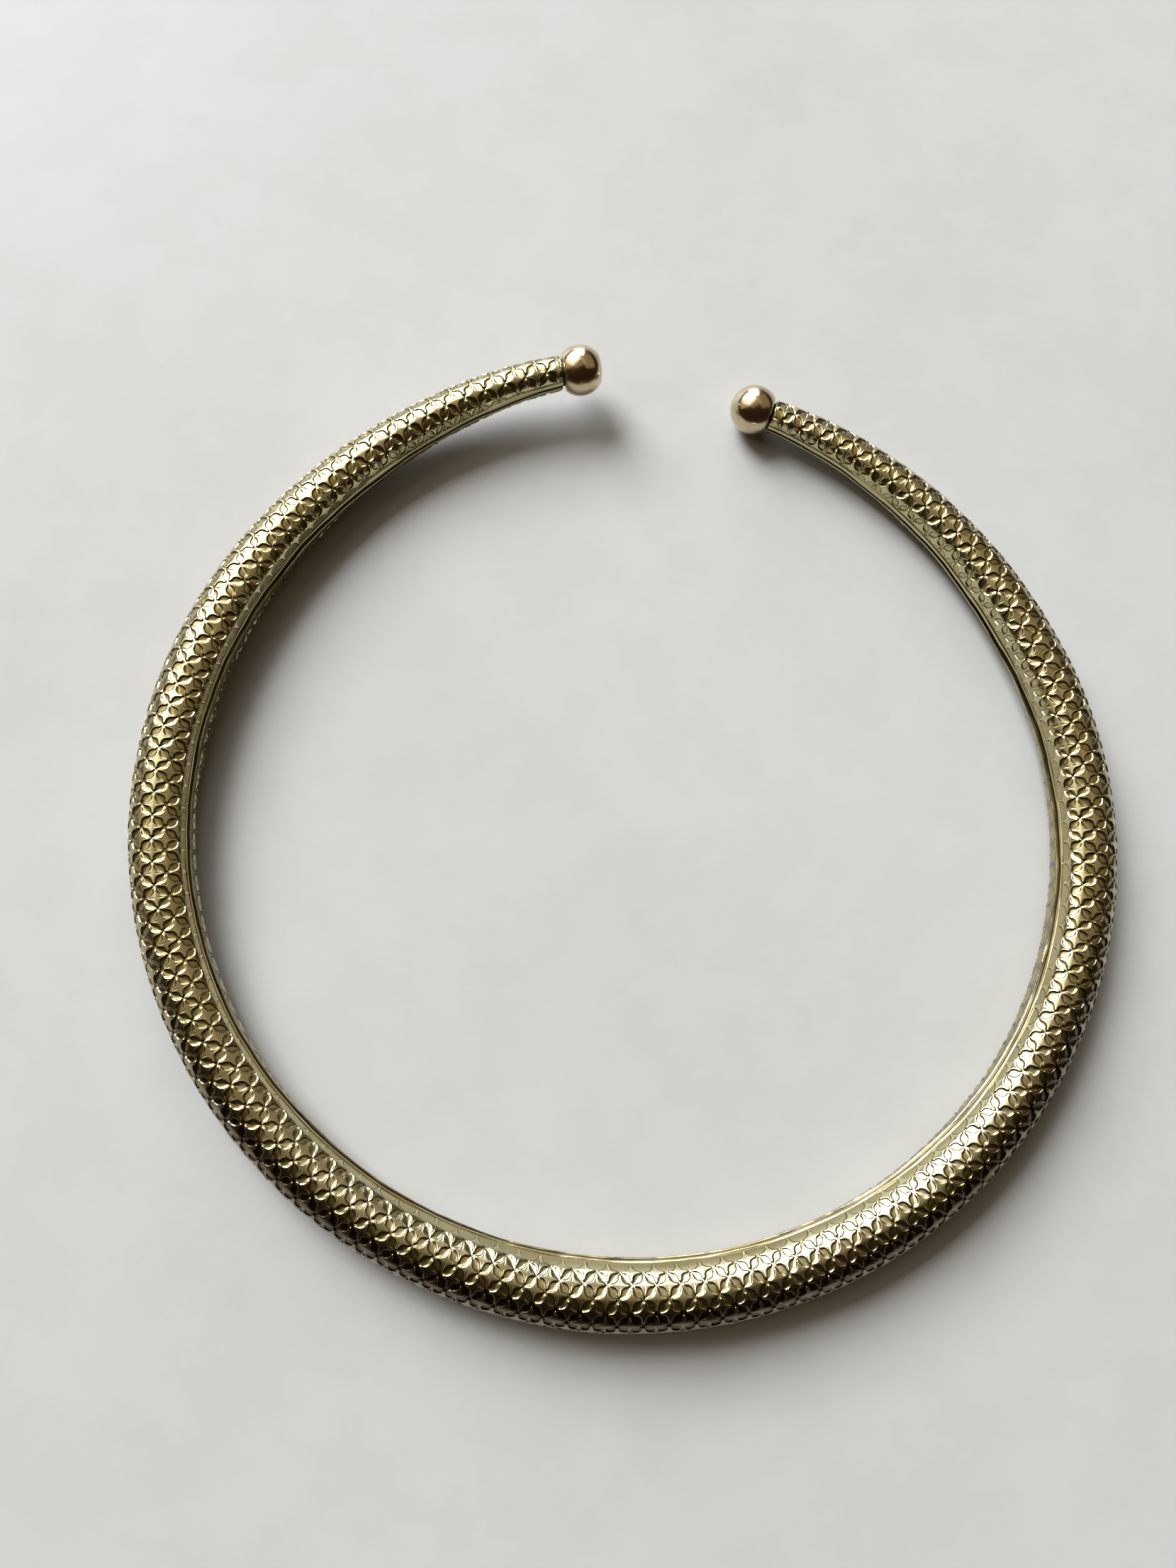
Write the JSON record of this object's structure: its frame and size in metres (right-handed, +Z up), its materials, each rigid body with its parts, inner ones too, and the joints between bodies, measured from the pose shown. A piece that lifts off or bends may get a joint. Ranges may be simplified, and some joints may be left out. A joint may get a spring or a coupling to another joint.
{
  "type": "rigid choker collar",
  "caption": "Open rigid choker of lattice-stamped sheet metal rolled into a tapering tube, with a polished ball on each end.",
  "frame": {"origin": "middle of the outline seen from above, on the surface that the collar rests on", "axes": "+Z up, away from the surface the collar lies on; +Y toward the opening between the two balls; +X toward the end whose ball lies on the surface, the right end as worn on a stand seen from above with the opening away from the viewer"},
  "size_m": [0.1398, 0.1378, 0.0105],
  "materials": {
    "stamped_metal": "stamped star and petal lattice, aged, with fine drawn lines and dark tarnish in the low places",
    "polished_metal": "polished, pale champagne"
  },
  "bodies": {
    "root": {"collar_tube": "stamped_metal", "end_ball_left": "polished_metal", "end_ball_right": "polished_metal"}
  },
  "joints": []
}
